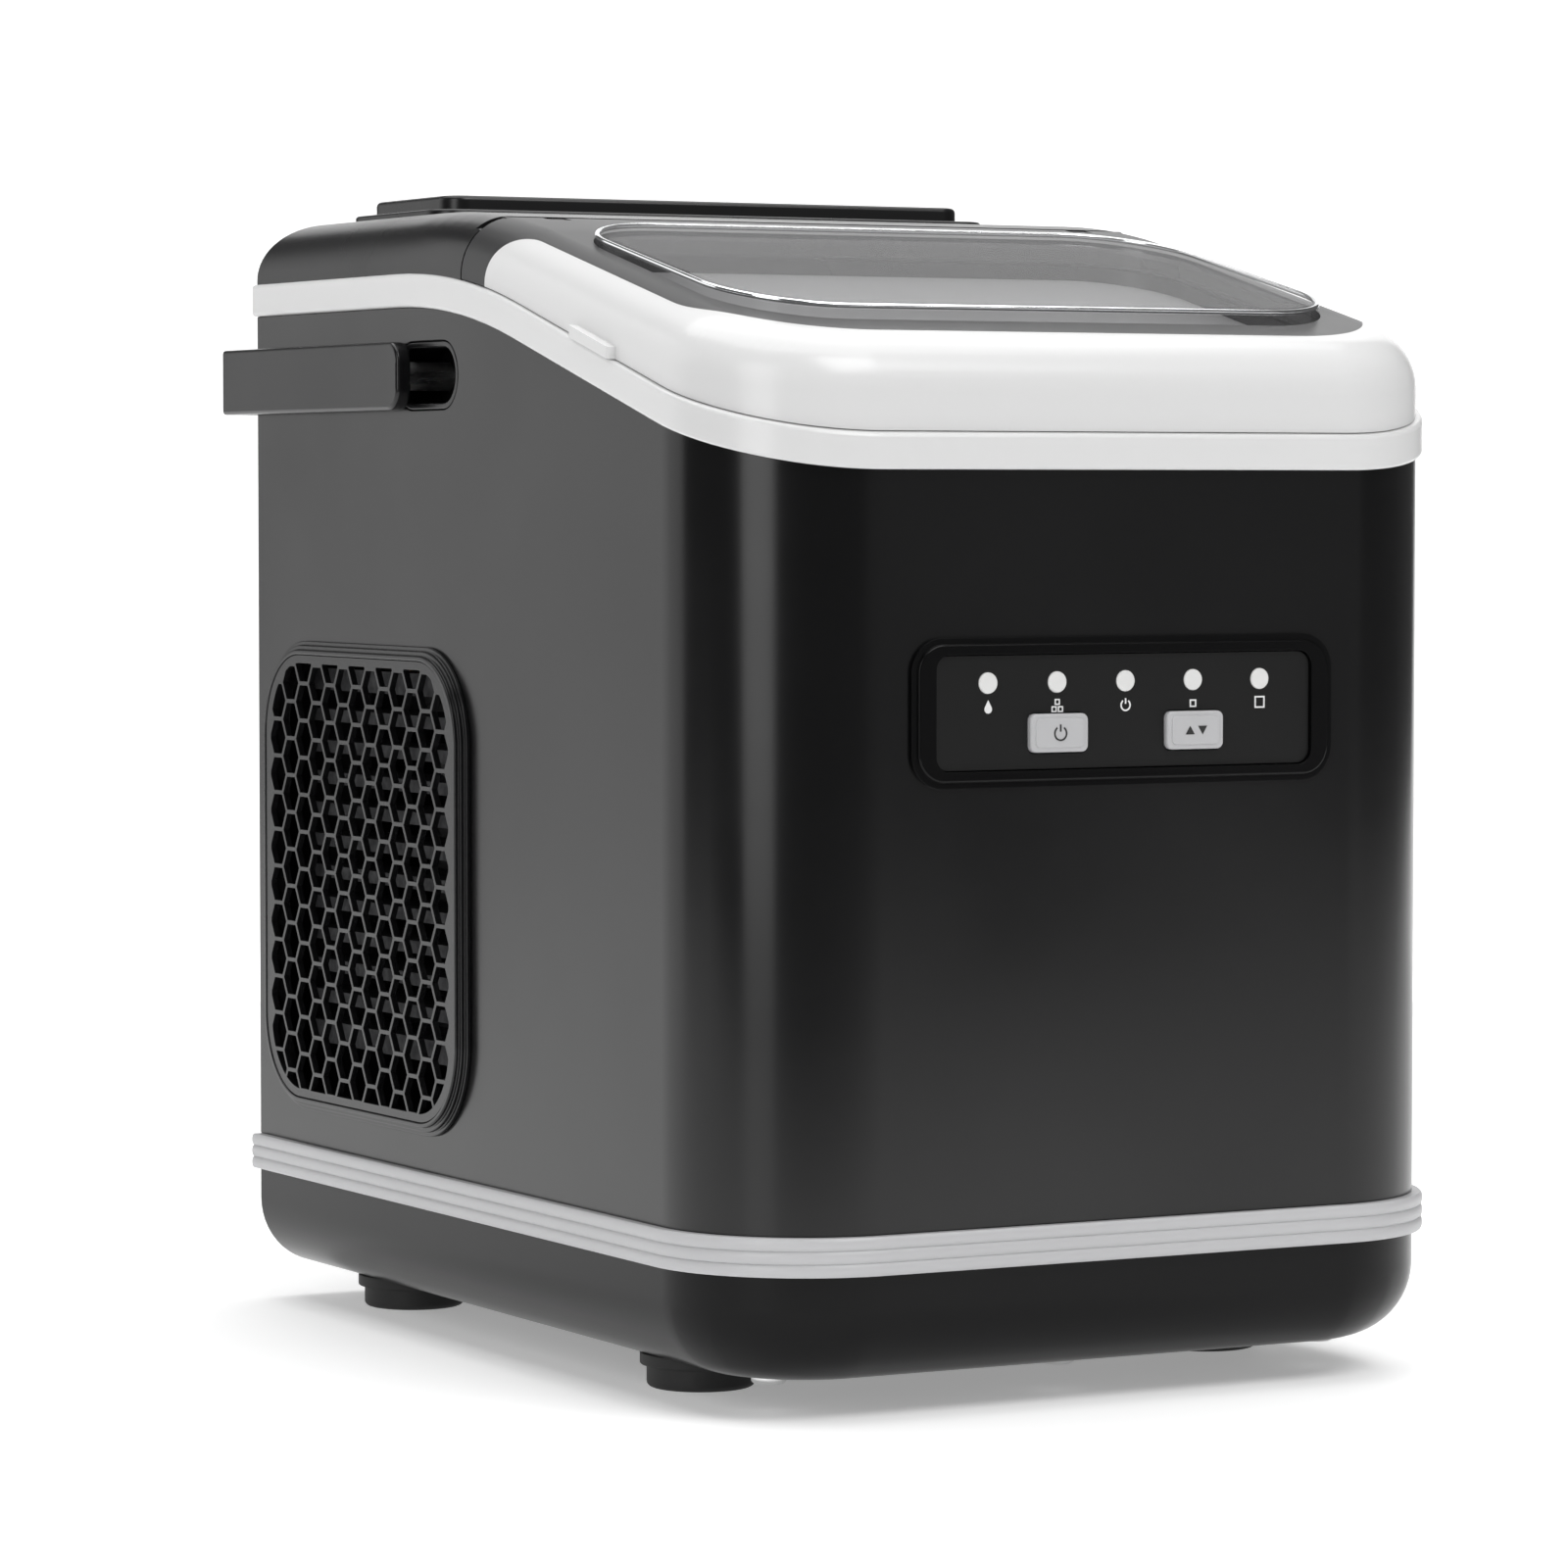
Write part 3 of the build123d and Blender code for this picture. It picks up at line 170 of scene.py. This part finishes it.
black_shell = (0.0035, 0.0035, 0.0037)
black_base = (0.0032, 0.0032, 0.0034)
black_cover = (0.008, 0.008, 0.0085)
black_trim = (0.006, 0.006, 0.0065)
looks = {
    "shell_black": moulded("shell_black", black_shell, 0.21, 0.000002, Specular_IOR_Level=0.44),
    "base_black": polished("base_black", black_base, 0.20, Specular_IOR_Level=0.16),
    "white_gloss": polished("white_gloss", (0.77, 0.77, 0.77), 0.22),
    "band_grey": moulded("band_grey", (0.50, 0.50, 0.51), 0.40, 0.000006, 0.02),
    "cover_black": moulded("cover_black", black_cover, 0.28, 0.000004, Specular_IOR_Level=0.45),
    "lid_black": polished("lid_black", (0.026, 0.026, 0.027), 0.34),
    "clear_cover": clear("clear_cover", (0.30, 0.30, 0.305), 0.02, 0.18),
    "smoked_pane": moulded("smoked_pane", (0.34, 0.34, 0.345), 0.34, 0.000004, 0.02),
    "panel_black": moulded(
        "panel_black", (0.003, 0.003, 0.003), 0.40, 0.000006, Specular_IOR_Level=0.35
    ),
    "lamp_white": moulded("lamp_white", (0.76, 0.76, 0.75), 0.30, 0.000003, 0.01),
    "key_grey": moulded("key_grey", (0.50, 0.50, 0.51), 0.34, 0.000008, 0.02),
    "vent_black": moulded("vent_black", black_trim, 0.25, 0.000004, Specular_IOR_Level=0.46),
    "handle_black": moulded("handle_black", black_trim, 0.26, 0.000004, Specular_IOR_Level=0.44),
    "foot_rubber": moulded("foot_rubber", (0.014, 0.014, 0.014), 0.62, 0.00003, 0.10),
    "screw_steel": metal("screw_steel", (0.72, 0.72, 0.72), 0.20),
    "pin_steel": metal("pin_steel", (0.62, 0.62, 0.62), 0.30, (0.1, 1.0, 1.0)),
    "liner_white": moulded("liner_white", (0.66, 0.67, 0.68), 0.40, 0.00001, 0.02),
    "accessory_white": moulded("accessory_white", (0.78, 0.78, 0.78), 0.36, 0.00001, 0.02),
    "tray_clear": moulded("tray_clear", (0.60, 0.64, 0.66), 0.22, 0.000004, 0.02),
    "foam_cream": moulded("foam_cream", (0.74, 0.70, 0.56), 0.90, 0.0003, 0.08),
    "seal_rubber": moulded("seal_rubber", (0.10, 0.10, 0.105), 0.60, 0.00002),
    "hose_rubber": moulded("hose_rubber", (0.60, 0.62, 0.62), 0.42, 0.00001),
    "nickel": metal("nickel", (0.70, 0.68, 0.64), 0.28),
    "copper": metal("copper", (0.78, 0.42, 0.26), 0.30),
    "motor_grey": moulded("motor_grey", (0.25, 0.25, 0.26), 0.45, 0.00001),
    "compressor_black": polished("compressor_black", (0.012, 0.012, 0.012), 0.22),
    # fin_aluminium is kept near black, far darker than bare aluminium, so the fins behind the
    # grille read dark: painted shade.
    "fin_aluminium": metal("fin_aluminium", (0.045, 0.045, 0.047), 0.50),
    # Near-white mirror for the bead just inside the clear window rim: a painted highlight that
    # stands in for the clear rim's bright edge, with lines reflected from the studio lamps.
    "rim_highlight_mirror": metal("rim_highlight_mirror", (0.93, 0.94, 0.95), 0.10),
    "print_white": moulded("print_white", (0.80, 0.80, 0.80), 0.45, 0.000004, 0.02),
    "print_black": moulded("print_black", (0.020, 0.020, 0.020), 0.45, 0.000004, 0.02),
    "board_green": moulded("board_green", (0.02, 0.13, 0.05), 0.35, 0.00001, 0.10),
}

slot_of = {s["node"]: s["material_slot"] for s in frame["record"]["subparts"]}


def dress(piece, look):
    """Give every face of a piece one material."""
    piece.data.materials.clear()
    piece.data.materials.append(looks[look])


for name, part in nodes.items():
    dress(part, slot_of[name])

# ---------------------------------------------------------------- refined shells


weld_distance = 1e-6
flat_within = radians(0.5)
edge_angle = radians(32.0)


def refine(name, bevel):
    """Stand-in for a CAD node: welded facets, edges softened by bevel mm, smooth shading."""
    source = nodes[name]
    mesh = source.data.copy()
    mesh.name = name + "_skin"
    piece = bpy.data.objects.new(name + "_skin", mesh)
    bpy.context.scene.collection.objects.link(piece)
    shape = bmesh.new()
    shape.from_mesh(mesh)
    bmesh.ops.remove_doubles(shape, verts=shape.verts, dist=weld_distance)
    bmesh.ops.dissolve_limit(
        shape, angle_limit=flat_within, verts=shape.verts, edges=shape.edges, delimit={"NORMAL"}
    )
    for face in shape.faces:
        face.smooth = True
    shape.to_mesh(mesh)
    shape.free()
    if mesh.has_custom_normals:
        mesh.attributes.remove(mesh.attributes["custom_normal"])
    mesh.set_sharp_from_angle(angle=edge_angle)
    if bevel:
        soften = piece.modifiers.new("soft_edges", "BEVEL")
        soften.width = bevel * mm
        soften.segments = 3
        soften.limit_method = "ANGLE"
        soften.angle_limit = edge_angle
        soften.harden_normals = True
        soften.use_clamp_overlap = True
    weight = piece.modifiers.new("flat_faces", "WEIGHTED_NORMAL")
    weight.keep_sharp = True
    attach(piece, source["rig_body"])
    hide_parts(name)


soft_edges = {
    "body_shell": 0.3,
    "base_pan": 0.3,
    "upper_trim_band": 0.9,
    "rear_top_cover": 0.3,
    "top_plate_lower": 0.0,
    "top_plate_upper": 0.0,
    "lid_window": 0.0,
    "lid_shell": 0.25,
    "lid_frame": 0.25,
    "left_vent_frame": 0.3,
    "right_vent_frame": 0.3,
    "left_vent_grille": 0.25,
    "right_vent_grille": 0.25,
    "carry_handle": 1.0,
    "handle_pockets": 0.3,
    "panel_bezel": 0.3,
    "panel_overlay": 0.15,
    "on_off_button": 0.2,
    "select_button": 0.2,
    "feet": 0.5,
    "rear_panel": 0.4,
}
for name, width in soft_edges.items():
    refine(name, width)

# ---------------------------------------------------------------- pieces made here
front = -0.1535
side = 0.111
shell_rear = 0.1452
corner = 0.0412
foot = 0.0094
smooth_angle = radians(38)


def link(name, shape, look, body):
    """Turn a bmesh into a smooth-shaded piece that rides on a body."""
    bmesh.ops.recalc_face_normals(shape, faces=shape.faces)
    for face in shape.faces:
        face.smooth = True
    mesh = bpy.data.meshes.new(name)
    shape.to_mesh(mesh)
    shape.free()
    mesh.set_sharp_from_angle(angle=smooth_angle)
    piece = bpy.data.objects.new(name, mesh)
    bpy.context.scene.collection.objects.link(piece)
    dress(piece, look)
    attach(piece, body)
    return piece


def wrap_stations():
    """Points and outward directions along the cabinet's left side, front and right side."""
    steps = 24
    stations = [(-side, shell_rear, -1.0, 0.0)]
    for step in range(steps + 1):
        turn = pi / 2 * step / steps
        out_x, out_y = -cos(turn), -sin(turn)
        x = corner - side + corner * out_x
        y = front + corner + corner * out_y
        stations.append((x, y, out_x, out_y))
    stations += [(-x, y, -out_x, out_y) for x, y, out_x, out_y in reversed(stations)]
    return stations


def rib_profile(bottom, pitch, count, inner, valley, crest):
    """Closed outline of (reach, height) points with rounded ribs one above another."""
    steps = 8
    outline = [(inner, bottom), (valley, bottom)]
    for rib in range(count):
        for step in range(1, steps + 1):
            share = step / steps
            round_off = sin(pi * share) ** 0.5 if step < steps else 0
            bulge = valley + (crest - valley) * round_off
            outline.append((bulge, bottom + (rib + share) * pitch))
    outline.append((inner, bottom + count * pitch))
    return outline


def ribbed_band():
    """The grey band: three shallow round ribs wrapped round the cabinet."""
    ribs = 3
    band_height = 0.01
    band_bottom = foot + 0.0288
    outline = rib_profile(
        band_bottom, band_height / ribs, ribs, inner=-0.002, valley=0.00215, crest=0.0028
    )
    shape = bmesh.new()
    rows = []
    for x, y, out_x, out_y in wrap_stations():
        rows.append([shape.verts.new((x + out_x * r, y + out_y * r, z)) for r, z in outline])
    count = len(outline)
    for near, far in zip(rows, rows[1:]):
        for k in range(count):
            shape.faces.new((near[k], near[(k + 1) % count], far[(k + 1) % count], far[k]))
    shape.faces.new(rows[0])
    shape.faces.new(rows[-1])
    piece = link("ribbed_band", shape, "band_grey", "cabinet")
    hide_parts("lower_trim_band")


ribbed_band()


window_half_width = 0.0925
window_front = front + 0.0272
window_rear = front + 0.1383
window_corner = 0.029
roof_slope = 0.225
roof_top = foot + 0.33405
roof_top_depth = front + 0.290


def window_edge(inset):
    """Points round the window's top edge, on its sloping roof."""
    half_width = window_half_width - inset
    near = window_front + inset
    far = window_rear - inset
    radius = window_corner - inset
    steps = 12
    points = []
    for x_sign, y, y_sign, start in (
        (1, far, 1, 0),
        (-1, far, 1, 90),
        (-1, near, -1, 180),
        (1, near, -1, 270),
    ):
        for step in range(steps + 1):
            turn = radians(start + 90 * step / steps)
            px = x_sign * (half_width - radius) + radius * cos(turn)
            py = y - y_sign * radius + radius * sin(turn)
            pz = roof_top - roof_slope * (roof_top_depth - py)
            points.append(Vector((px, py, pz)))
    return points


def loop_tube(name, points, radius, sides, look, body):
    """A round bead along a closed path."""
    shape = bmesh.new()
    rows = []
    total = len(points)
    for index, point in enumerate(points):
        along = (points[(index + 1) % total] - points[index - 1]).normalized()
        across = along.cross(Vector((0, 0, 1))).normalized()
        upward = across.cross(along)
        row = []
        for k in range(sides):
            turn = 2 * pi * k / sides
            reach = cos(turn) * across + sin(turn) * upward
            row.append(shape.verts.new(point + radius * reach))
        rows.append(row)
    for index in range(total):
        near, far = rows[index], rows[(index + 1) % total]
        for k in range(sides):
            shape.faces.new((near[k], near[(k + 1) % sides], far[(k + 1) % sides], far[k]))
    link(name, shape, look, body)


# The rim_highlight_bead bead is not a part of the machine: a mirror tube inside the clear rim's
# top edge, a painted highlight standing in for the rim's bright edge.
rim_radius = 0.00072
rim_inset = 0.00075
rim_sink = Vector((0, 0, 0.00105))
rim_points = [point - rim_sink for point in window_edge(rim_inset)]
loop_tube("rim_highlight_bead", rim_points, rim_radius, 12, "rim_highlight_mirror", "lid")


def bar(x0, z0, x1, z1, width):
    """A straight stroke as one quad."""
    run = Vector((x1 - x0, z1 - z0)).normalized() * width / 2
    return [
        (x0 - run.y, z0 + run.x),
        (x0 + run.y, z0 - run.x),
        (x1 + run.y, z1 - run.x),
        (x1 - run.y, z1 + run.x),
    ]


def arc(cx, cz, radius, width, start, stop):
    """A curved stroke as a row of quads, from start to stop degrees."""
    steps = 28
    quads = []
    for step in range(steps):
        corners = []
        for share, reach in ((step, -0.5), (step + 1, -0.5), (step + 1, 0.5), (step, 0.5)):
            turn = radians(start + (stop - start) * share / steps)
            away = radius + reach * width
            corners.append((cx + away * cos(turn), cz + away * sin(turn)))
        quads.append(corners)
    return quads


def frame_square(cx, cz, size, width):
    """An open square: the sign for an ice cube."""
    h = size / 2
    e = h + width / 2
    return [
        bar(cx - e, cz - h, cx + e, cz - h, width),
        bar(cx - e, cz + h, cx + e, cz + h, width),
        bar(cx - h, cz - h + width / 2, cx - h, cz + h - width / 2, width),
        bar(cx + h, cz - h + width / 2, cx + h, cz + h - width / 2, width),
    ]


def drop(cx, cz):
    """A water drop."""
    tip = 1.75
    belly = 1.1
    belly_drop = 0.55
    steps = 20
    points = [(cx, cz + tip)]
    for step in range(steps + 1):
        turn = radians(150 + 240 * step / steps)
        points.append((cx + belly * cos(turn), cz - belly_drop + belly * sin(turn)))
    return [points]


def standby(cx, cz, radius):
    """The usual power sign: an open ring with a bar."""
    stroke = 0.42
    ring = arc(cx, cz, radius, stroke, 125, 415)
    return ring + [bar(cx, cz + 0.25 * radius, cx, cz + 1.3 * radius, stroke)]


def triangle(cx, cz, size):
    """A solid triangle that points up, or down for a negative size."""
    rise = size * 0.8
    return [[(cx - abs(size), cz - rise), (cx + abs(size), cz - rise), (cx, cz + rise)]]


def printed(name, outlines, plane, look, body):
    """Thin raised print on a plane that faces the front. Outlines are in millimetres."""
    sunk = 0.00005
    raised = 0.00012
    shape = bmesh.new()
    for outline in outlines:
        ends = []
        for y in (plane + sunk, plane - raised):
            ends.append([shape.verts.new((x * mm, y, foot + z * mm)) for x, z in outline])
        back, face = ends
        shape.faces.new(back)
        shape.faces.new(face)
        for k in range(len(outline)):
            n = (k + 1) % len(outline)
            shape.faces.new((back[k], back[n], face[n], face[k]))
    link(name, shape, look, body)


panel_x = 1.3
lamp_pitch = 20.45
sign_height = 171.9
field_plane = front - 0.001
key_plane = front - 0.00275
lamps = [panel_x + (index - 2) * lamp_pitch for index in range(5)]
key_sign_height = 164.9
small_cube = 1.2
small_stroke = 0.34
cube_stroke = 0.40
signs = drop(lamps[0], sign_height)
for across, rise in ((-0.95, -0.85), (0.95, -0.85), (0, 1.0)):
    signs += frame_square(lamps[1] + across, sign_height + rise, small_cube, small_stroke)
signs += standby(lamps[2], sign_height - 0.15, 1.35)
signs += frame_square(lamps[3], sign_height, 1.6, cube_stroke)
signs += frame_square(lamps[4], sign_height, 2.7, cube_stroke)
printed("lamp_signs", signs, field_plane, "print_white", "cabinet")
power = standby(lamps[1], key_sign_height, 1.75)
printed("power_sign", power, key_plane, "print_black", "on_off_key")
arrow_height = 165.0
arrows = triangle(lamps[3] - 1.9, arrow_height, 1.35)
arrows += triangle(lamps[3] + 1.9, arrow_height, -1.35)
printed("select_sign", arrows, key_plane, "print_black", "select_key")

# ---------------------------------------------------------------- studio


def sheet(name, points, width, look):
    """A wide strip that follows a side profile of (y, z) points."""
    shape = bmesh.new()
    rows = []
    for y, z in points:
        rows.append([shape.verts.new((x, y, z)) for x in (-width / 2, width / 2)])
    for near, far in zip(rows, rows[1:]):
        shape.faces.new((near[0], near[1], far[1], far[0]))
    mesh = bpy.data.meshes.new(name)
    shape.to_mesh(mesh)
    shape.free()
    mesh.materials.append(look)
    for face in mesh.polygons:
        face.use_smooth = True
    piece = bpy.data.objects.new(name, mesh)
    bpy.context.scene.collection.objects.link(piece)
    return piece


view_yaw = radians(28.374)
view_pitch = radians(2.775)
sheet_width = 3.6
floor_near = -0.75
floor_far = 1.1
wall_start = 3.0
wall_bend = 1.6
wall_top = 4.0
wall_profile = [(floor_far, 0.0), (wall_start, 0.0)]
for step in range(1, 13):
    turn = pi / 2 * step / 12
    wall_profile.append((wall_start + wall_bend * sin(turn), wall_bend * (1 - cos(turn))))
wall_profile.append((wall_start + wall_bend, wall_top))
floor_profile = [(floor_near, 0.0), (floor_far, 0.0)]
for name, stretch, strength in (
    ("studio_floor", floor_profile, 0.30),
    ("studio_wall", wall_profile, 0.75),
):
    look = Paint(name, (0.92, 0.92, 0.92), 0.80)
    look.glow(strength)
    look.vary_color(2.0, 0.01)
    sweep = sheet(name, stretch, sheet_width, look.material)
    sweep.rotation_euler = (0, 0, -view_yaw)

aim = Vector((0.0, 0.0, 0.16))


def softbox(name, azimuth, distance, height, size, radiance):
    """A rectangular area light on a compass bearing (degrees from +X), aimed at the machine."""
    lamp = bpy.data.lights.new(name, "AREA")
    lamp.shape = "RECTANGLE"
    lamp.size, lamp.size_y = size
    lamp.energy = radiance * pi * size[0] * size[1]
    piece = bpy.data.objects.new(name, lamp)
    bpy.context.scene.collection.objects.link(piece)
    bearing = radians(azimuth)
    place = Vector((distance * cos(bearing), distance * sin(bearing), height))
    piece.location = place
    piece.rotation_euler = (aim - place).to_track_quat("-Z", "Y").to_euler()


softbox("overhead", 80, 0.35, 2.3, (2.6, 2.6), 2.3)
softbox("rear_left_wall", 130, 2.6, 0.85, (1.9, 1.9), 0.95)
softbox("front_left_strip", 211, 2.4, 0.9, (1.05, 2.0), 2.6)
softbox("front_right_wall", 300, 2.8, 0.9, (1.6, 1.8), 0.16)
softbox("front_high", 285, 2.2, 2.6, (2.0, 1.4), 5.6)

world = bpy.data.worlds.new("studio_air")
bpy.context.scene.world = world
world.use_nodes = True
air = world.node_tree
air.nodes["Background"].inputs["Color"].default_value = (1, 1, 1, 1)
air.nodes["Background"].inputs["Strength"].default_value = 0.10
bpy.context.scene.view_settings.view_transform = "Standard"

# ---------------------------------------------------------------- camera

camera_data = bpy.data.cameras.new("camera")
camera_data.sensor_width = 36.0
camera_data.lens = 137.26
camera_data.clip_end = 50
camera = bpy.data.objects.new("camera", camera_data)
bpy.context.scene.collection.objects.link(camera)
camera.location = (-0.80597, -1.46443, 0.23529)
camera.rotation_euler = (pi / 2 - view_pitch, 0, -view_yaw)
bpy.context.scene.camera = camera
